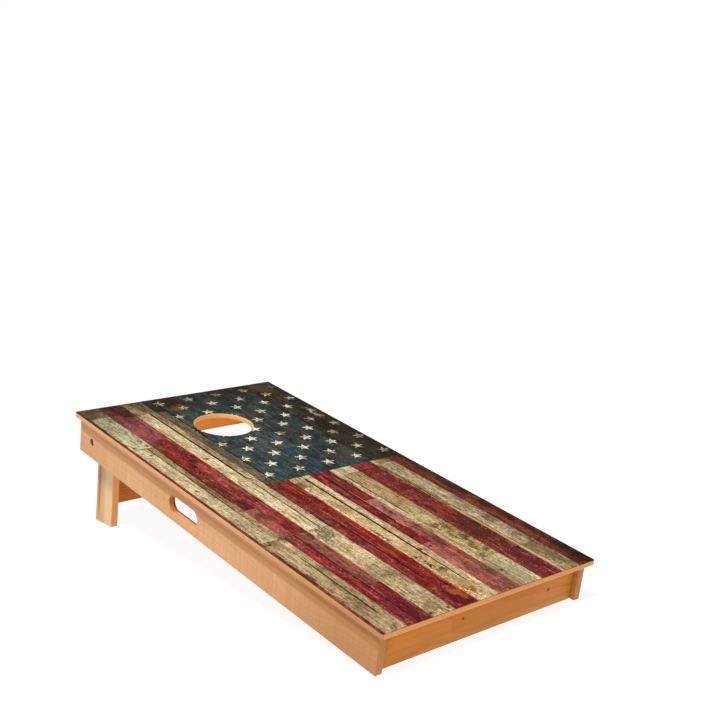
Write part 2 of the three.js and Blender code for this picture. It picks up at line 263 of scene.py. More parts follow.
def growth_rings(s, across, through, seed, drift, waver):
    """The distance from the heart of the tree, counted in rings."""
    from_pith = s.length(
        s.add(s.add(across, (seed % 1 - 0.5) * PITH_SPREAD), s.times(drift, PITH_DRIFT[0])),
        s.add(s.add(through, PITH_OFFSET), s.times(drift, PITH_DRIFT[1])),
    )
    return s.add(s.math("DIVIDE", from_pith, RING_SPACING), s.times(waver, RING_WAVER))


def add_knots(s, rings, along, across, waver, knots):
    """The rings drawn round each knot, and how far a point is inside one. A knot is
    (along the grain, across the face, radius)."""
    inside = None
    for knot_along, knot_across, radius in knots:
        distance = s.length(s.subtract(along, knot_along), s.subtract(across, knot_across))
        distance = s.add(distance, s.times(waver, radius * 0.5))
        rings = s.add(rings, s.times(s.step(distance, radius * 3.2, radius * 0.6), KNOT_SWIRL))
        core = s.step(distance, radius * 1.15, radius * 0.7)
        inside = core if inside is None else s.math("MAXIMUM", inside, core)
    return rings, inside


def add_marks(s, base, on_face, through, marks, cuts):
    """The colour with marks over it. A cut is (low, high, mark): a mark that shows only
    between two depths, as on the walls of an opening."""

    def within(mark):
        reach = (mark.reach_along, mark.reach_across)
        distance = s.from_centre(on_face, (mark.along, mark.across), reach)
        return s.times(s.step(distance, 1.0, 0.5), mark.strength)

    for mark in marks:
        base = s.mix(base, colour(mark.tint), within(mark))
    for low, high, mark in cuts:
        deep = s.times(s.step(through, low + MM, low + 2 * MM), s.step(through, high - MM, high - 2 * MM))
        base = s.mix(base, colour(mark.tint), s.times(deep, within(mark)))
    return base


def pine(
    name, grain, face, early, late, seed, knots=(), marks=(), cuts=(),
    contrast=0.55, shade=0.5, ripple=0.0,
):
    """Flat-sawn softwood. grain is the axis that the fibres follow, and face the axis
    square to the wide face. contrast is the strength of rings and streaks, shade that of
    the broad clouds, and ripple that of the planer's faint lines across the grain."""
    s = Shader(name)
    along, across, through = along_grain(s.place(), grain, face)
    shift = seed * SEED_SHIFT
    point = (across, through, along)
    drift = s.subtract(s.noise(point, (4, 4, 1.6), shift, detail=2.0), 0.5)
    waver = s.subtract(s.noise(point, (30, 30, 5), shift + 5, detail=3.0), 0.5)
    rings = growth_rings(s, across, through, seed, drift, waver)
    rings, in_knot = add_knots(s, rings, along, across, waver, knots)
    phase = s.math("FRACT", rings)
    late_wood = s.times(s.step(phase, 0.35, 0.9), s.step(phase, 1.0, 0.92))
    fibres = s.noise(point, (900, 900, 14), shift, detail=4.0, roughness=0.6)
    streaks = s.noise(point, (120, 120, 2.5), shift + 9, detail=4.0, roughness=0.6)
    clouds = s.noise(point, (9, 9, 3), shift + 3, detail=2.0)

    base = s.mix(colour(early), colour(late), s.times(late_wood, contrast))
    base = s.mix(base, colour(late), s.times(s.step(streaks, 0.48, 0.8), contrast))
    base = s.mix(base, PORES, s.times(s.step(fibres, 0.52, 0.8), 0.16))
    base = s.mix(base, colour(early), s.times(s.step(fibres, 0.48, 0.2), 0.22))
    base = s.mix(base, colour(late), s.times(s.spread(clouds, 0.2), shade))
    if ripple:
        planed = s.noise(point, (1.5, 1.5, 120), shift + 2, detail=1.0)
        base = s.mix(base, colour(late), s.times(s.spread(planed, 0.16), ripple))
    if knots:
        grain_in_knot = s.math("FRACT", s.times(rings, 1.6))
        knot = s.mix(colour(KNOT_DARK), colour(KNOT_LIGHT), s.step(grain_in_knot, 0.2, 0.8))
        base = s.mix(base, knot, s.times(in_knot, 0.85))
    on_face = s.join(along, s.add(across, s.times(waver, 3 * MM)), 0.0)
    base = add_marks(s, base, on_face, through, marks, cuts)

    s.bump(s.add(s.times(fibres, 0.5), s.times(late_wood, 0.35)), 0.12 * MM, 0.5)
    roughness = s.add(0.36, s.times(fibres, 0.22))
    return s.finish(base, roughness, Specular_IOR_Level=WOOD_SHEEN)


PLIES = 7
PLY_WAVER = 0.16  # how far the glue lines waver, in plies


def plywood(name):
    """Cross-banded veneers: layers with the grain along the board and across it in turn.
    The long side edges are duller, and the wall of the hole is paler."""
    s = Shader(name)
    x, y, z = s.place()
    low, high = local_box("deck")
    depth = s.times(z, -PLIES / (high.z - low.z))
    waver = s.times(s.subtract(s.noise((x, y, z), (60, 60, 200), 0, detail=2.0), 0.5), PLY_WAVER)
    layer = s.math("MINIMUM", s.add(depth, waver), PLIES - 0.5)
    crossed = s.math("MODULO", s.math("FLOOR", layer), 2.0)
    glue = s.step(s.math("ABSOLUTE", s.subtract(s.math("FRACT", layer), 0.5)), 0.42, 0.5)
    fine_long = s.noise((x, y, z), (700, 12, 700), 4, detail=4.0)
    fine_cross = s.noise((x, y, z), (12, 700, 700), 8, detail=4.0)
    patches = s.noise((x, y, z), (14, 3, 14), 2, detail=3.0)
    long_ply = s.mix(colour("#ffc47e"), colour("#f2a058"), s.step(fine_long, 0.3, 0.75))
    cross_ply = s.mix(colour("#ee9444"), colour("#c8702e"), s.step(fine_cross, 0.35, 0.75))
    base = s.mix(long_ply, cross_ply, s.times(crossed, 0.55))
    on_side = s.step(s.math("ABSOLUTE", x), high.x - 4 * MM, high.x - 3 * MM)
    dulled = s.mix(colour("#e8a672"), colour("#c48450"), s.step(y, 0.0, low.y))
    base = s.mix(base, dulled, s.times(on_side, 0.85))
    base = s.mix(base, colour("#96592a"), s.times(glue, 0.35))
    base = s.mix(base, colour("#f09c50"), s.times(s.step(patches, 0.45, 0.75), 0.35))
    from_hole = s.from_centre(s.join(x, y, 0.0), HOLE_CENTRE, (HOLE_RADIUS, HOLE_RADIUS))
    on_wall = s.step(from_hole, 1.04, 1.02)
    base = s.mix(base, colour("#ffc880"), s.times(on_wall, 0.7))
    s.bump(s.add(fine_long, s.times(glue, -0.6)), 0.1 * MM, 0.5)
    return s.finish(base, s.add(0.45, s.times(fine_long, 0.2)), Specular_IOR_Level=WOOD_SHEEN)


def plated_steel(name, light, dark, base_roughness):
    """Zinc plate with small spangles, rubbed marks and grime."""
    s = Shader(name)
    point = s.place()
    spangle = s.noise(point, (900, 900, 900), 0, detail=4.0)
    rubbed = s.noise(point, (90, 90, 400), 3, detail=5.0, roughness=0.7)
    base = s.mix(colour(light), colour(dark), s.step(spangle, 0.35, 0.7))
    base = s.mix(base, colour("#4a4038"), s.times(s.step(rubbed, 0.62, 0.8), 0.5))
    s.bump(rubbed, 0.03 * MM, 0.4)
    return s.finish(base, s.add(base_roughness, s.times(spangle, 0.25)), Metallic=1.0)


# ---- pieces made from the CAD solids ---------------------------------------
SHARP = math.radians(30)
FLAT = math.radians(0.5)
SAME_POINT = 0.005 * MM
# How far each kind of piece has its edges broken.
RAIL_EASING = 1.4 * MM
LEG_EASING = 1.2 * MM
CROSS_PIECE_EASING = 0.9 * MM
INNER_EASING = 0.6 * MM
PLY_EASING = 0.5 * MM
HARDWARE_EASING = 0.3 * MM


def sharp_edges(bm):
    return [edge for edge in bm.edges if edge.is_manifold and edge.calc_face_angle(0) > SHARP]


def put_in_scene(name, mesh, material, body):
    """A piece from a mesh in the board's frame."""
    mesh.transform(BOARD)
    piece = bpy.data.objects.new(name, mesh)
    bpy.context.scene.collection.objects.link(piece)
    piece.data.materials.append(material)
    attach(piece, body)
    return piece


def body_of_node(node):
    return next(body for body, nodes in frame["record"]["behaviour"]["bodies"].items() if node in nodes)


def slot_of_node(node):
    return next(part["material_slot"] for part in frame["record"]["subparts"] if part["node"] == node)


def clean_solid(node):
    """A CAD solid as a tidy bmesh in the board's frame: joined, with flat faces whole."""
    bm = bmesh.new()
    bm.from_mesh(frame["nodes"][node].data)
    bm.transform(TO_BOARD)
    bmesh.ops.remove_doubles(bm, verts=bm.verts, dist=SAME_POINT)
    bmesh.ops.dissolve_limit(bm, angle_limit=FLAT, verts=bm.verts, edges=bm.edges)
    return bm


def stand_for(node, bm, material):
    """Finishes a bmesh as the piece that stands for a CAD node, and frees the bmesh."""
    mesh = bpy.data.meshes.new(f"look_{node}")
    bmesh.ops.triangulate(bm, faces=[face for face in bm.faces if len(face.verts) > 4])
    for face in bm.faces:
        face.smooth = True
    bm.to_mesh(mesh)
    bm.free()
    mesh.set_sharp_from_angle(angle=SHARP)
    piece = put_in_scene(f"look_{node}", mesh, material, body_of_node(node))
    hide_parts(node)
    return piece


def ease(bm, edges, offset, segments):
    bmesh.ops.bevel(
        bm,
        geom=edges,
        offset=offset,
        offset_type="OFFSET",
        segments=segments,
        profile=0.5,
        affect="EDGES",
        clamp_overlap=False,
    )


def eased_piece(node, material, easing, segments=3):
    """The CAD solid with its sharp edges broken, as sanding or machining leaves them."""
    bm = clean_solid(node)
    ease(bm, sharp_edges(bm), easing, segments)
    return stand_for(node, bm, material)


# ---- deck ------------------------------------------------------------------
END_STRIP = 20 * MM  # points nearer to the ends than this are on the film's outline


def hole_circle():
    """The centre and radius of the hole in the printed film."""
    points = node_points("deck_print", TO_BOARD)
    _, high = local_box("deck_print")
    inner = points[np.abs(points[:, 0]) < high.x / 2]
    inner = inner[np.abs(inner[:, 1]) < high.y - END_STRIP]
    centre = (inner.min(0) + inner.max(0)) / 2
    radius = (inner[:, 0].max() - inner[:, 0].min()) / 2
    return Vector(centre[:2]), radius


HOLE_CENTRE, HOLE_RADIUS = hole_circle()


def make_deck():
    """The plywood panel. The film's hole is wider than the panel's by the rounding that
    the lip gets here."""
    _, high = local_box("deck")
    bm = clean_solid("deck")
    rounding = HOLE_RADIUS - min(
        (Vector(vertex.co.xy) - HOLE_CENTRE).length for vertex in bm.verts
    )

    def around_hole(edge):
        middle = (edge.verts[0].co + edge.verts[1].co) / 2
        return (middle.xy - HOLE_CENTRE).length < HOLE_RADIUS + MM

    sharp = sharp_edges(bm)
    lip = [edge for edge in sharp if around_hole(edge) and edge.verts[0].co.z > high.z - MM]
    others = [edge for edge in sharp if edge not in lip]
    ease(bm, others, PLY_EASING, 2)
    lip = [
        edge for edge in sharp_edges(bm)
        if around_hole(edge) and min(vertex.co.z for vertex in edge.verts) > high.z - 0.1 * MM
    ]
    ease(bm, lip, rounding, 5)
    return stand_for("deck", bm, plywood("plywood_look"))


# ---- print: planks, stripes and stars --------------------------------------
# Places in the print are millimetres: x from the deck's left edge, v from its head edge.
END = 1219
FILM_CORNER = 4.0
CORNER_STEPS = 6
HOLE_SIDES = 96
JOINT_INSET = 0.5
SAME_PLACE = 1e-4
STRIPE_EDGES = [0, 8, 63, 128, 188, 252, 312, 374, 440, 505, 561, 610]
TINTS = {
    "butter": "#dcc49a", "bone": "#c8ae84", "straw": "#b4966b", "khaki": "#a98f66", "drift": "#9c855c",
    "tan": "#b98650", "lichen": "#cdc39b", "ash": "#c4b087",
    "crimson": "#8c2a29", "brick": "#812d26", "scarlet": "#891a17", "rose": "#b56a62", "maroon": "#5e1f1a",
    "raspberry": "#87222a", "rosewood": "#8c4c40", "plum": "#6c3530", "dusty": "#9c5149",
    "cherry": "#821a1f", "wine": "#6c2028", "ember": "#9c3221", "salmon": "#a65a50", "mauve": "#964f50",
    "slate": "#3f4e51", "teal": "#3a4b4d", "ink": "#303d3f", "prussian": "#2e4452", "umber": "#383429",
    "sage": "#6a604a",
}
# Left, right, head, foot, and the tints of the cream, red and blue paint on it.
PLANKS = [
    (0, 63, 0, 66, "khaki", "plum", ""),
    (0, 63, 66, 286, "lichen", "plum", ""),
    (0, 45, 286, 822, "ash", "plum", ""),
    (0, 45, 822, END, "khaki", "plum", ""),
    (45, 63, 286, 675, "drift", "", ""),
    (45, 63, 675, END, "straw", "", ""),
    (63, 93, 0, 66, "", "maroon", ""),
    (63, 93, 66, 286, "", "mauve", ""),
    (63, 93, 286, 677, "", "brick", ""),
    (63, 93, 677, 822, "", "dusty", ""),
    (63, 93, 822, END, "", "raspberry", ""),
    (93, 128, 0, 88, "", "maroon", ""),
    (93, 128, 88, 250, "", "mauve", ""),
    (93, 128, 250, 822, "", "crimson", ""),
    (93, 128, 822, 1064, "", "rosewood", ""),
    (93, 128, 1064, END, "", "raspberry", ""),
    (128, 188, 0, 88, "khaki", "", ""),
    (128, 167, 88, 402, "butter", "", ""),
    (128, 167, 402, 822, "butter", "", ""),
    (167, 188, 88, 540, "straw", "", ""),
    (167, 188, 540, 822, "bone", "", ""),
    (128, 188, 822, END, "bone", "", ""),
    (188, 217, 0, 88, "", "", "umber"),
    (188, 217, 88, 822, "", "brick", "sage"),
    (188, 217, 822, END, "", "crimson", ""),
    (217, 291, 0, 76, "", "", "umber"),
    (217, 291, 76, 614, "bone", "crimson", "slate"),
    (217, 291, 614, END, "butter", "scarlet", ""),
    (291, 341, 0, 600, "bone", "crimson", "teal"),
    (291, 341, 600, 983, "butter", "cherry", ""),
    (291, 341, 983, END, "bone", "salmon", ""),
    (341, 391, 0, 430, "", "", "slate"),
    (341, 391, 430, 758, "butter", "raspberry", "prussian"),
    (341, 391, 758, 907, "butter", "rose", ""),
    (341, 391, 907, END, "straw", "rosewood", ""),
    (391, 516, 0, 622, "butter", "crimson", "ink"),
    (391, 516, 622, 1090, "straw", "brick", ""),
    (391, 516, 1090, END, "ash", "wine", ""),
    (516, 594, 0, 608, "tan", "crimson", "umber"),
    (516, 594, 608, 1090, "butter", "ember", ""),
    (516, 594, 1090, END, "straw", "brick", ""),
    (594, 610, 0, 560, "", "maroon", "umber"),
    (594, 610, 560, END, "", "maroon", "umber"),
]
# Open joints between planks: x, v, half of the width across x and v.
GAPS = [
    (167, 315, 3.2, 225), (166, 690, 1.6, 130), (290, 815, 3.4, 215), (339, 735, 2.4, 135),
    (390, 740, 1.6, 118), (510, 740, 2.0, 130), (215, 960, 1.8, 138), (43, 1030, 1.6, 120),
    (92, 1000, 1.2, 178), (217, 300, 2.2, 270), (516, 330, 1.8, 250), (45, 480, 1.6, 190),
    (62, 490, 1.3, 150), (188, 690, 1.6, 140), (290, 1085, 1.8, 60),
    (448, 622, 57, 1.6), (301, 600, 11, 1.0), (254, 614, 37, 1.0), (31, 287, 31, 1.0),
]
# Pale edges where the paint has gone, written in the same way.
BARE_EDGES = [
    (510, 1020, 3.0, 198), (341, 800, 1.6, 100), (128, 1000, 1.4, 150), (290, 1182, 1.6, 36),
]
NAILS = [
    (18, 272), (53, 273), (90, 277), (34, 328), (144, 402), (24, 546), (19, 835), (297, 1000),
    (326, 997), (133, 1206), (179, 1206), (388, 1150), (500, 1155), (233, 1206), (462, 640),
]
# Blemishes: x, v, reach across x and v, colour, strength.
BLEMISHES = [
    (414, 1000, 34, 120, "#a5823e", 0.45), (402, 930, 11, 30, "#463010", 0.75),
    (420, 944, 12, 24, "#463010", 0.7), (406, 984, 10, 26, "#463010", 0.75),
    (426, 1004, 12, 28, "#3c290f", 0.75), (408, 1040, 11, 30, "#463010", 0.75),
    (430, 1062, 10, 24, "#3c290f", 0.8), (404, 1082, 9, 18, "#463010", 0.7),
    (472, 985, 50, 130, "#3a2410", 0.6), (226, 1185, 38, 60, "#4c1420", 0.75),
    (95, 1165, 40, 100, "#5a1a24", 0.7),
    (155, 842, 28, 26, "#3d3a2c", 0.6), (60, 826, 16, 18, "#3a2a14", 0.7),
    (6, 960, 8, 190, "#3c1516", 0.4), (222, 238, 13, 24, "#2c2c27", 1.0),
    (86, 437, 12, 44, "#33150e", 0.7), (262, 628, 24, 22, "#6b3a10", 0.8),
    (272, 930, 26, 330, "#b98648", 0.4), (271, 1130, 24, 130, "#a57c44", 0.7),
    (260, 900, 11, 44, "#97480f", 0.9),
    (260, 1024, 12, 16, "#43230a", 0.95), (264, 1056, 11, 14, "#43230a", 0.95),
    (276, 1088, 9, 14, "#54300f", 0.8), (270, 1174, 15, 28, "#b4501a", 0.95),
    (272, 760, 20, 60, "#a5742e", 0.5), (282, 1000, 8, 60, "#c08a44", 0.5),
    (226, 965, 12, 38, "#b5481c", 0.65), (236, 1180, 18, 26, "#c06a2c", 0.65),
    (256, 76, 40, 13, "#8e5328", 0.65), (583, 245, 6, 52, "#c9a878", 0.85),
    (556, 320, 40, 90, "#1d1510", 0.55), (560, 40, 60, 46, "#5d4a2c", 0.5),
    (180, 460, 14, 80, "#6b5430", 0.4), (54, 560, 11, 130, "#5a361a", 0.45),
    (538, 1130, 26, 60, "#5a4a2c", 0.35), (536, 880, 20, 60, "#6a5230", 0.25),
    (579, 900, 4, 300, "#a2552c", 0.6), (570, 1000, 3, 240, "#a2552c", 0.5),
    (480, 720, 30, 80, "#4a1a10", 0.45), (150, 1180, 40, 30, "#7a6238", 0.5),
    (30, 30, 50, 40, "#5d4c30", 0.55), (430, 330, 60, 50, "#3a3024", 0.5),
    (250, 240, 40, 60, "#40382a", 0.45), (470, 520, 50, 50, "#4a3d2a", 0.45),
    (588, 36, 26, 26, "#3d3122", 0.8), (474, 1168, 44, 56, "#4c1420", 0.6),
    (408, 1165, 44, 100, "#8a8566", 0.5), (600, 1180, 34, 80, "#1a0f0e", 0.75),
]
CANTON_LEFT = 188
CANTON_FOOT = 585
STAR_RADIUS = 18.5
STAR_INNER = 0.40  # the notches' share of the radius
STAR_POINTS = 5
STAR_TURN = math.pi / STAR_POINTS  # from a tip to the next notch
STAR_COLUMNS = 9
STAR_ROWS = 6
STAR_FIRST = (226, 36)
STAR_PITCH = (45.2, 101.2)

KINDS = ("cream", "red", "navy")
GLOW = {"cream": "#f0dcae", "red": "#a0261f", "navy": "#0d1f36"}  # where the paint is fresh
WORN = {"cream": "#8a6c44", "red": "#b98472", "navy": "#7a6c52"}  # where it has rubbed off
WEAR = {"cream": 1.0, "red": 0.72, "navy": 0.65}  # how much of it has rubbed off
STAR_FRESH = "#fbf0cc"
STAR_OLD = "#c4ae7c"
RUST = "#57381d"
NAIL_RUST = "#4a2410"
BARE_WOOD = "#d8aa78"
SOOT = (0.012, 0.009, 0.007, 1)
GRIME = (0.014, 0.015, 0.009, 1)
OPEN_JOINT = (0.006, 0.004, 0.003, 1)
BLACK = (0, 0, 0, 1)
COOL = (0.94, 1.02, 0.95, 1)
WARM = (1.04, 0.98, 1.0, 1)
BRIGHTEST = 2.5  # the most that light and dark in the print multiply its colours by
PLANK_SHIFT = 37.0  # how far the texture moves from plank to plank, in cells of noise
PRINT_SHEEN = 0.04


def star_places():
    """The middles of the stars. Every second column is one star shorter, half a row down."""
    for column in range(STAR_COLUMNS):
        odd = column % 2
        for row in range(STAR_ROWS - odd):
            x = STAR_FIRST[0] + column * STAR_PITCH[0]
            v = STAR_FIRST[1] + (row + 0.5 * odd) * STAR_PITCH[1]
            yield x, v


def star_outline(x, v):
    """Tips and notches in turn, with one tip towards +X."""
    for i in range(2 * STAR_POINTS):
        reach = STAR_RADIUS * (STAR_INNER if i % 2 else 1)
        angle = i * STAR_TURN
        yield x + reach * math.cos(angle), v + reach * math.sin(angle)


def in_star(x, v, star):
    """Whether a place is inside a star: it is folded into the half point along +X, and
    has to lie on the inner side of the line from the tip to the notch."""
    dx, dv = x - star[0], v - star[1]
    reach = math.hypot(dx, dv)
    fold = abs((math.atan2(dv, dx) + STAR_TURN) % (2 * STAR_TURN) - STAR_TURN)
    tip = Vector((STAR_RADIUS, 0))
    notch = Vector((math.cos(STAR_TURN), math.sin(STAR_TURN))) * STAR_RADIUS * STAR_INNER
    point = Vector((math.cos(fold), math.sin(fold))) * reach
    side = notch - tip
    return side.x * (point.y - tip.y) - side.y * (point.x - tip.x) > 0


class Drawing:
    """Straight lines on the deck, for a constrained triangulation."""

    def __init__(self):
        self.points = []
        self.lines = []

    def line(self, *points):
        first = len(self.points)
        self.points.extend(Vector(point) for point in points)
        self.lines.extend((first + i, first + i + 1) for i in range(len(points) - 1))

    def loop(self, points):
        points = list(points)
        self.line(*points)
        self.lines.append((len(self.points) - 1, len(self.points) - len(points)))


def film_outline(width, length):
    """The film's rectangle with round corners."""
    right, foot = width - FILM_CORNER, length - FILM_CORNER
    turns = [
        (right, FILM_CORNER, -90), (right, foot, 0),
        (FILM_CORNER, foot, 90), (FILM_CORNER, FILM_CORNER, 180),
    ]
    for x, v, start in turns:
        for step in range(CORNER_STEPS + 1):
            angle = math.radians(start + step * 90 / CORNER_STEPS)
            yield x + FILM_CORNER * math.cos(angle), v + FILM_CORNER * math.sin(angle)


def draw_print(width, length):
    """The printed outline, the hole, the joints and the stars, and then the hole as x, v
    and radius. Joints stop an inset short of the outline, which keeps slivers out of the
    triangulation."""
    drawing = Drawing()
    drawing.loop(film_outline(width, length))
    hole_x = HOLE_CENTRE.x / MM + width / 2
    hole_v = length / 2 - HOLE_CENTRE.y / MM
    radius = HOLE_RADIUS / MM
    turn = 2 * math.pi / HOLE_SIDES
    drawing.loop(
        (hole_x + radius * math.cos(i * turn), hole_v + radius * math.sin(i * turn))
        for i in range(HOLE_SIDES)
    )
    for x in STRIPE_EDGES[1:-1]:
        drawing.line((x, JOINT_INSET), (x, length - JOINT_INSET))
    drawing.line((CANTON_LEFT, CANTON_FOOT), (width - JOINT_INSET, CANTON_FOOT))
    for left, right, head, foot, *_ in PLANKS:
        if right < width - 1:
            drawing.line((right, head + JOINT_INSET), (right, min(foot, length - JOINT_INSET)))
        if foot < length - 1:
            drawing.line((max(left, JOINT_INSET), foot), (min(right, width - JOINT_INSET), foot))
    for star in star_places():
        drawing.loop(star_outline(*star))
    return drawing, (hole_x, hole_v, radius)


class Plank:
    """One plank, with its own tints and its own stretch of texture."""

    def __init__(self, rng, left, right, head, foot, *tints):
        self.left, self.right, self.head, self.foot = left, right, head, foot
        self.tints = dict(zip(KINDS, tints))
        self.seed = rng.random()

    def holds(self, x, v):
        return self.left <= x <= self.right and self.head <= v <= self.foot


def lay_planks():
    rng = random.Random(SEED)
    return [Plank(rng, *plank) for plank in PLANKS]


def paint_at(x, v):
    """Navy in the canton, and cream and red stripes in turn elsewhere."""
    if x > CANTON_LEFT and v < CANTON_FOOT:
        return "navy"
    stripe = sum(edge < x for edge in STRIPE_EDGES)
    return "red" if stripe % 2 else "cream"


def corner_place(mesh, corner, width, length):
    """The place of a face's corner, in millimetres from the left and head edges."""
    co = mesh.vertices[mesh.loops[corner].vertex_index].co
    return Vector((co.x / MM + width / 2, length / 2 - co.y / MM))


def make_print():
    """The film, cut along every joint and star, with the paint of each plank as
    attributes on the corners of its faces."""
    low, high = local_box("deck_print")
    width, length = (high.x - low.x) / MM, (high.y - low.y) / MM
    drawing, (hole_x, hole_v, radius) = draw_print(width, length)
    points, _, faces, *_ = delaunay_2d_cdt(drawing.points, drawing.lines, [], 0, SAME_PLACE)
    planks = lay_planks()
    stars = list(star_places())

    mesh = bpy.data.meshes.new("look_deck_print")
    kept = []
    for face in faces:
        middle = sum((points[i] for i in face), Vector((0, 0))) / len(face)
        if math.hypot(middle.x - hole_x, middle.y - hole_v) > radius:
            kept.append((list(reversed(face)), middle))
    coordinates = [((p.x - width / 2) * MM, (length / 2 - p.y) * MM, 0) for p in points]
    mesh.from_pydata(coordinates, [], [face for face, _ in kept])

    # facts: star, seed, wear. near and far: millimetres past the plank's left and head
    # edges, and millimetres short of its right and foot edges.
    corners = {"paint": [], "glow": [], "worn": [], "facts": [], "near": [], "far": []}
    for polygon, (_, middle) in zip(mesh.polygons, kept):
        x, v = middle
        plank = next(plank for plank in planks if plank.holds(x, v))
        kind = paint_at(x, v)
        star = kind == "navy" and any(
            math.hypot(x - s[0], v - s[1]) < STAR_RADIUS and in_star(x, v, s) for s in stars
        )
        for corner in polygon.loop_indices:
            place = corner_place(mesh, corner, width, length)
            corners["paint"].extend(colour(TINTS[plank.tints[kind]]))
            corners["glow"].extend(colour(GLOW[kind]))
            corners["worn"].extend(colour(WORN[kind]))
            corners["facts"].extend((float(star), plank.seed, WEAR[kind]))
            corners["near"].extend((place.x - plank.left, place.y - plank.head, 0))
            corners["far"].extend((plank.right - place.x, plank.foot - place.y, 0))
    for name, values in corners.items():
        is_colour = name in ("paint", "glow", "worn")
        layer = mesh.attributes.new(name, "FLOAT_COLOR" if is_colour else "FLOAT_VECTOR", "CORNER")
        layer.data.foreach_set("color" if is_colour else "vector", values)
    piece = put_in_scene("look_deck_print", mesh, printed_planks("printed_planks"), "board")
    film = piece.modifiers.new("film", "SOLIDIFY")
    film.thickness = high.z - low.z
    film.offset = -1
    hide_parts("deck_print")


# The textures that the print's looks share.
Textures = namedtuple("Textures", "fibres grain drifts patches mottle flakes")


def print_textures(s, flat):
    return Textures(
        fibres=s.noise(flat, (420, 22, 1), 0, detail=5.0, roughness=0.6),
        grain=s.noise(flat, (130, 7, 1), 7, detail=6.0, roughness=0.65, distortion=0.4),
        drifts=s.noise(flat, (16, 6, 1), 3, detail=4.0, roughness=0.55),
        patches=s.noise(flat, (60, 34, 1), 23, detail=5.0, roughness=0.6),
        mottle=s.noise(flat, (190, 130, 1), 11, detail=5.0, roughness=0.6),
        flakes=s.noise(flat, (330, 200, 1), 19, detail=4.0, roughness=0.6),
    )


def weathered_paint(s, t, flat, paint, glow, worn, star, wear):
    """Paint that is fresh in drifts, worn to the wood along the grain, and sooty where it
    wears least, with the stars' paint over it."""
    base = s.mix(paint, glow, s.times(s.step(t.drifts, 0.5, 0.68), 0.4))
    rubbed = s.times(s.step(t.grain, 0.53, 0.62), 0.5)
    loose = s.add(s.times(s.step(t.patches, 0.46, 0.6), 0.8), 0.1)
    chipped = s.times(s.step(t.flakes, 0.54, 0.62), loose)
    base = s.mix(base, worn, s.times(wear, s.math("MAXIMUM", rubbed, chipped)))
    deep = s.step(s.noise(flat, (30, 16, 1), 53, detail=6.0, roughness=0.65), 0.5, 0.4)
    base = s.mix(base, SOOT, s.times(deep, s.times(s.subtract(1.3, wear), 0.7)))
    star_paint = s.mix(colour(STAR_FRESH), colour(STAR_OLD), s.step(t.patches, 0.44, 0.62))
    missing = s.add(s.times(t.flakes, 0.4), s.times(t.patches, 0.6))
    return s.mix(base, star_paint, s.times(star, s.step(missing, 0.64, 0.54)))


def light_and_dark(s, t, flat, base):
    """Lighter and darker at every size, warmer and cooler, with soot in the cracks."""
    value = s.times(s.spread(t.drifts, 0.2), 0.3)
    value = s.add(value, s.times(s.spread(t.patches, 0.18), 0.4))
    value = s.add(value, s.times(s.spread(t.mottle, 0.14), 0.65))
    value = s.add(value, s.times(s.spread(t.fibres, 0.16), 0.95))
    brightest = (BRIGHTEST, BRIGHTEST, BRIGHTEST, 1)
    grey = s.mix(BLACK, brightest, s.times(s.subtract(value, 0.09), 1 / BRIGHTEST))
    base = s.mix(base, grey, 1.0, "MULTIPLY")
    cast = s.noise(flat, (50, 26, 1), 47, detail=4.0)
    tinge = s.mix(COOL, WARM, s.spread(cast, 0.16))
    base = s.mix(base, tinge, 1.0, "MULTIPLY")
    base = s.mix(base, SOOT, s.times(s.step(t.flakes, 0.4, 0.32), 0.6))
    base = s.mix(base, SOOT, s.times(s.step(t.fibres, 0.62, 0.7), 0.5))
    hairline = s.step(s.math("ABSOLUTE", s.subtract(t.grain, 0.47)), 0.012, 0.002)
    return s.mix(base, SOOT, s.times(hairline, s.times(s.step(t.patches, 0.46, 0.6), 0.6)))


def soiling(s, x, y, reach, stains, base):
    """Rust and grime, most of it towards the head and the right edge."""
    to_head = s.step(y, reach.y * 0.66, reach.y)
    to_right = s.step(x, reach.x * 0.5, reach.x)
    soiled = s.math("MAXIMUM", to_head, to_right)
    rust = s.step(s.add(stains, s.times(soiled, 0.1)), 0.56, 0.68)
    base = s.mix(base, colour(RUST), s.times(rust, 0.45))
    grime = s.step(s.noise((x, y, 0.0), (34, 26, 1), 61, detail=6.0, roughness=0.7), 0.42, 0.58)
    return s.mix(base, GRIME, s.times(soiled, s.add(s.times(grime, 0.4), 0.44)))


def add_blemishes(s, t, x, y, stains, from_corner, base):
    """Blemishes with ragged outlines."""
    broad = s.join(
        s.add(x, s.times(s.subtract(t.patches, 0.5), 0.05)),
        s.add(y, s.times(s.subtract(stains, 0.5), 0.12)),
        0.0,
    )
    speckle = s.add(s.times(s.spread(t.mottle, 0.16), 0.5), s.times(s.spread(t.flakes, 0.16), 0.5))
    for blemish_x, blemish_v, reach_x, reach_v, tint, strength in BLEMISHES:
        distance = s.from_centre(broad, from_corner(blemish_x, blemish_v), (reach_x * MM, reach_v * MM))
        depth = s.step(s.add(distance, s.times(s.subtract(speckle, 0.5), 0.9)), 1.0, 0.35)
        base = s.mix(base, colour(tint), s.times(depth, strength))
    return base


def add_nails(s, t, x, y, from_corner, base):
    """Nail holes with a little rust round them."""
    fine = s.join(
        s.add(x, s.times(s.subtract(t.flakes, 0.5), 0.006)),
        s.add(y, s.times(s.subtract(t.mottle, 0.5), 0.008)),
        0.0,
    )
    nearest = None
    for nail in NAILS:
        distance = s.from_centre(fine, from_corner(*nail), (MM, MM))
        nearest = distance if nearest is None else s.math("MINIMUM", nearest, distance)
    base = s.mix(base, colour(NAIL_RUST), s.times(s.step(nearest, 8.0, 2.5), 0.5))
    return s.mix(base, SOOT, s.times(s.step(nearest, 4.0, 2.6), 0.9))


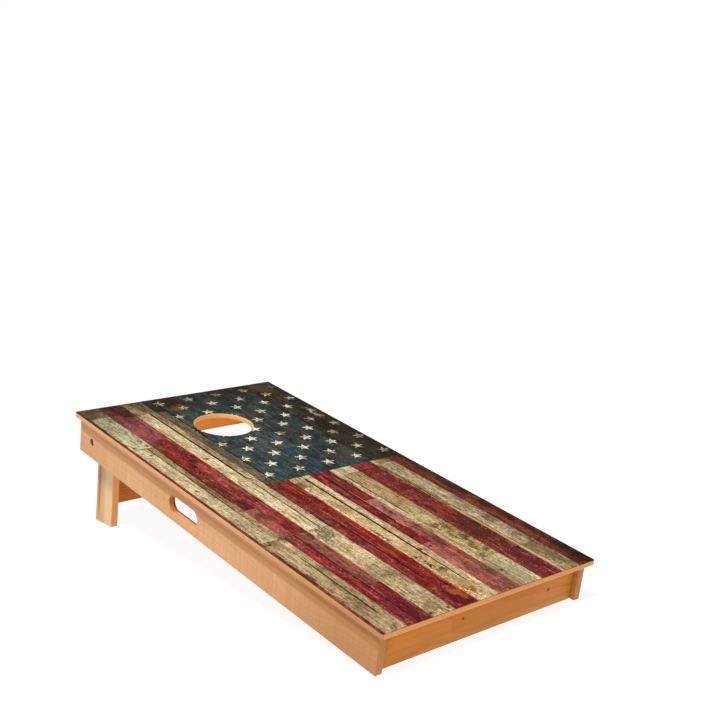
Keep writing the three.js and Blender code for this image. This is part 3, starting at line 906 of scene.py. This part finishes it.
def closed_joints(s, t, near, far, base):
    """A faint dark line round every plank."""
    near_x, near_v, _ = near
    far_x, far_v, _ = far
    to_side = s.add(s.math("MINIMUM", near_x, far_x), s.times(s.subtract(t.grain, 0.5), 2.0))
    to_end = s.add(s.math("MINIMUM", near_v, far_v), s.times(s.subtract(t.mottle, 0.5), 2.0))
    edge = s.math("MINIMUM", to_side, to_end)
    base = s.mix(base, SOOT, s.times(s.step(edge, 2.2, 0.0), 0.35))
    return s.mix(base, SOOT, s.times(s.step(edge, 0.8, 0.3), 0.45))


def open_joints(s, t, x, y, from_corner, base):
    """Bare edges, then the gaps between planks, both ragged."""
    ragged_x = s.add(x, s.times(s.subtract(t.flakes, 0.5), 3 * MM))
    ragged_y = s.add(y, s.times(s.subtract(t.mottle, 0.5), 3 * MM))

    def lines(places):
        found = None
        for line_x, line_v, half_x, half_v in places:
            bar = s.bar(ragged_x, ragged_y, from_corner(line_x, line_v), (half_x * MM, half_v * MM))
            found = bar if found is None else s.math("MAXIMUM", found, bar)
        return found

    base = s.mix(base, colour(BARE_WOOD), s.times(lines(BARE_EDGES), 0.8))
    return s.mix(base, OPEN_JOINT, s.times(lines(GAPS), 0.97))


def printed_planks(name):
    """A printed picture of weathered, painted planks under a satin coat."""
    s = Shader(name)
    x, y, _ = s.place()
    low, high = local_box("deck_print")
    paint, glow, worn = [s.attribute(layer)["Color"] for layer in ("paint", "glow", "worn")]
    star, seed, wear = s.split(s.attribute("facts")["Vector"])
    near = s.split(s.attribute("near")["Vector"])
    far = s.split(s.attribute("far")["Vector"])

    def from_corner(right, down):
        """A place in the print, in millimetres, as a place on the board."""
        return Vector((low.x, high.y)) + Vector((right, -down)) * MM

    flat = (x, y, s.times(seed, PLANK_SHIFT))
    textures = print_textures(s, flat)
    base = weathered_paint(s, textures, flat, paint, glow, worn, star, wear)
    base = light_and_dark(s, textures, flat, base)
    stains = s.noise((x, y, 0.0), (20, 13, 1), 31, detail=6.0, roughness=0.65)
    base = soiling(s, x, y, high, stains, base)
    base = add_blemishes(s, textures, x, y, stains, from_corner, base)
    base = add_nails(s, textures, x, y, from_corner, base)
    base = closed_joints(s, textures, near, far, base)
    base = open_joints(s, textures, x, y, from_corner, base)
    s.bump(textures.fibres, 0.03 * MM, 0.3)
    return s.finish(base, s.add(0.45, s.times(textures.mottle, 0.25)), Specular_IOR_Level=PRINT_SHEEN)


# ---- frame, legs and hardware ----------------------------------------------
# A mark's reach where it runs on past its piece: along a rail, and anywhere else.
RUN_OF_RAIL = 3.0
RUN_ON = 1.0


def slot_box(node):
    """The low and high corners of the hand slot in a side rail: of its points that are
    clear of the top and bottom edges and in the middle half of the length."""
    points = node_points(node, TO_BOARD)
    low, high = local_box(node)
    rim = 5 * MM
    in_height = (points[:, 2] > low.z + rim) & (points[:, 2] < high.z - rim)
    slot = points[in_height & (np.abs(points[:, 1]) < 0.25 * (high.y - low.y))]
    return Vector(slot.min(0)), Vector(slot.max(0))


def make_side_rail(side, seed):
    """A rail darker towards the foot, with a painted shadow in a band under the deck's overhang,
    end grain in its own brown, and painted shade in the hand slot, at its head end and inner edge."""
    node = f"side_rail_{side}"
    low, high = local_box(node)
    slot_low, slot_high = slot_box(node)
    slot = (slot_low + slot_high) / 2
    inner = min(low.x, high.x, key=abs)
    # painted shadow: a darker band along the top of the rail's face, where the deck's overhang shades it
    painted_overhang_shadow = Mark(0.0, high.z - 23 * MM, RUN_OF_RAIL, 12.5 * MM, "#b67a42", 0.74)
    to_foot = Mark(low.y - 150 * MM, 0.0, 520 * MM, RUN_ON, "#b2743e", 0.55)
    # painted shade on the hand slot's walls at its head end
    painted_slot_end_shade = Mark(slot_high.y, slot.z, 34 * MM, 60 * MM, "#b8661c", 0.8)
    # painted shade on the hand slot's walls by the rail's inner face, and on that face round the slot
    painted_slot_rim_shade = Mark(slot.y, slot.z, 100 * MM, 60 * MM, "#6e3a12", 0.85)
    end_grain = Mark(low.y, slot.z, 8 * MM, RUN_ON, "#cf8a48", 0.7)
    cuts = [
        (low.x, high.x, painted_slot_end_shade),
        (inner - 7 * MM, inner + 7 * MM, painted_slot_rim_shade),
        (low.x, high.x, end_grain),
    ]
    look = pine(
        f"pine_side_{side}", "y", "x", "#e6b280", "#c5844c", seed, marks=[to_foot, painted_overhang_shadow],
        cuts=cuts, contrast=0.2, shade=0.4, ripple=0.22,
    )
    eased_piece(node, look, RAIL_EASING)


def make_rails():
    make_side_rail("left", 1.3)
    make_side_rail("right", 2.6)
    foot_low, foot_high = local_box("foot_rail")
    middle = (foot_low.z + foot_high.z) / 2
    knots = [(0.198, middle - MM, 4.8 * MM), (-0.06, middle + 4 * MM, 3.8 * MM)]
    foot = pine("pine_foot", "x", "y", "#e08e34", "#bb6818", 3.9, knots, contrast=0.35)
    eased_piece("foot_rail", foot, CROSS_PIECE_EASING)
    head = pine("pine_head", "x", "y", "#f8aa48", "#e28c30", 5.2, contrast=0.4)
    eased_piece("head_rail", head, CROSS_PIECE_EASING)


def make_inner_wood():
    """The cleats, pivot blocks and cross support, in bare pine: node, grain, face, seed."""
    pieces = [
        ("side_cleat_left_front", "y", "x", 7.77),
        ("side_cleat_left_rear", "y", "x", 7.4),
        ("pivot_block_left", "y", "x", 4.1),
        ("side_cleat_right_front", "y", "x", 8.14),
        ("side_cleat_right_rear", "y", "x", 7.77),
        ("pivot_block_right", "y", "x", 4.1),
        ("foot_cleat", "x", "y", 6.3),
        ("head_cleat", "x", "y", 7.7),
        ("cross_support", "x", "y", 8.2),
    ]
    for node, grain, face, seed in pieces:
        look = pine(f"pine_{node}", grain, face, "#e9c79c", "#c99a66", seed)
        eased_piece(node, look, INNER_EASING, 2)


def make_leg(side, seed):
    """A leg: pale sapwood with a brown edge on the side towards the board's foot, browner
    heartwood towards its head, and a streak of resin on its outer face."""
    low, high = local_box(f"leg_{side}")
    middle = low.z / 2
    foot_edge = Mark(middle, low.y, RUN_ON, 2.5 * MM, "#df954b", 0.85)
    sapwood = Mark(middle, low.y + 6 * MM, RUN_ON, 48 * MM, "#fadcae", 0.5)
    heartwood = Mark(middle, high.y, RUN_ON, 48 * MM, "#dc9c60", 0.5)
    resin = Mark(low.z * 0.66, high.y - 14 * MM, 100 * MM, 8 * MM, "#9a5f2c", 0.75)
    outer = max(low.x, high.x, key=abs)
    look = pine(
        f"pine_leg_{side}", "z", "x", "#eabf8c", "#c58548", seed,
        marks=[sapwood, heartwood, foot_edge], cuts=[(outer - 6 * MM, outer + 6 * MM, resin)],
        contrast=0.5,
    )
    eased_piece(f"leg_{side}", look, LEG_EASING)


def make_legs():
    make_leg("left", 9.4)
    make_leg("right", 10.8)
    brace = pine("pine_brace", "x", "y", "#c07016", "#84460a", 12.1, contrast=0.45)
    eased_piece("leg_brace", brace, CROSS_PIECE_EASING)


def make_hardware():
    """Bolts, washers, nuts, screws and dowels, by their material slots."""
    # painted shade: this bright-zinc finish is coloured far darker than bare zinc, standing in for the
    # shade inside the bolt's counterbore
    bright = plated_steel("zinc_with_painted_shade", "#625a4f", "#2f2a25", 0.3)
    yellow = plated_steel("yellow_zinc", "#d9c27a", "#a88b45", 0.28)
    beech = pine("beech_dowel", "x", "y", "#e2c196", "#c79b66", 2.2)
    finishes = {"zinc_steel": bright, "screw_steel": yellow, "dowel_beech": beech}
    for node in frame["nodes"]:
        look = finishes.get(slot_of_node(node))
        if look:
            eased_piece(node, look, HARDWARE_EASING, 2)


# ---- room ------------------------------------------------------------------
FLOOR_SIZE = 200
FLOOR_GREY = 0.1
FLOOR_GLOW = 0.92
SURROUND_AS_LIGHT = 0.27
SURROUND_SEEN = 1.0
KEY_STRENGTH = 2.55
KEY_SPREAD = math.radians(12)
KEY_HEADING = (0.72, 0.28, -1.45)
CAMERA_PLACE = (-1.6225, -2.1042, 0.9703)
CAMERA_BEARING = math.radians(-40.19)
CAMERA_DROP = math.radians(10.32)
CAMERA_LENS = 57.9
CAMERA_SENSOR = 36
WHITE = (1, 1, 1, 1)


def make_floor():
    """A floor that is white mostly by its own glow, so that it stays even and takes only
    a faint shadow."""
    bpy.ops.mesh.primitive_plane_add(size=FLOOR_SIZE, location=(0, 0, 0))
    floor = bpy.context.object
    floor.name = "floor"
    s = Shader("floor_white")
    floor.data.materials.append(
        s.finish(
            (FLOOR_GREY, FLOOR_GREY, FLOOR_GREY, 1),
            0.95,
            Emission_Color=WHITE,
            Emission_Strength=FLOOR_GLOW,
            Specular_IOR_Level=0.0,
        )
    )


def make_world():
    """An even white surround, bright to look at and softer as a light."""
    world = bpy.data.worlds.new("studio")
    world.use_nodes = True
    nodes, links = world.node_tree.nodes, world.node_tree.links
    background = nodes["Background"]
    background.inputs["Color"].default_value = WHITE
    seen = nodes.new("ShaderNodeLightPath").outputs["Is Camera Ray"]
    strength = nodes.new("ShaderNodeMapRange")
    strength.inputs["To Min"].default_value = SURROUND_AS_LIGHT
    strength.inputs["To Max"].default_value = SURROUND_SEEN
    links.new(seen, strength.inputs["Value"])
    links.new(strength.outputs[0], background.inputs["Strength"])
    bpy.context.scene.world = world


def make_key():
    """A broad lamp high behind the camera and a little to its left, as a sun so that the
    floor is evenly lit."""
    data = bpy.data.lights.new("key", "SUN")
    data.energy = KEY_STRENGTH
    data.angle = KEY_SPREAD
    key = bpy.data.objects.new("key", data)
    bpy.context.scene.collection.objects.link(key)
    key.rotation_euler = Vector(KEY_HEADING).to_track_quat("-Z", "Y").to_euler()


def make_camera():
    data = bpy.data.cameras.new("camera")
    data.lens = CAMERA_LENS
    data.sensor_width = CAMERA_SENSOR
    camera = bpy.data.objects.new("camera", data)
    bpy.context.scene.collection.objects.link(camera)
    camera.location = CAMERA_PLACE
    camera.rotation_euler = (math.pi / 2 - CAMERA_DROP, 0, CAMERA_BEARING)
    bpy.context.scene.camera = camera
    bpy.context.scene.view_settings.view_transform = "Standard"


make_camera()
make_floor()
make_world()
make_key()
make_deck()
make_print()
make_rails()
make_inner_wood()
make_legs()
make_hardware()
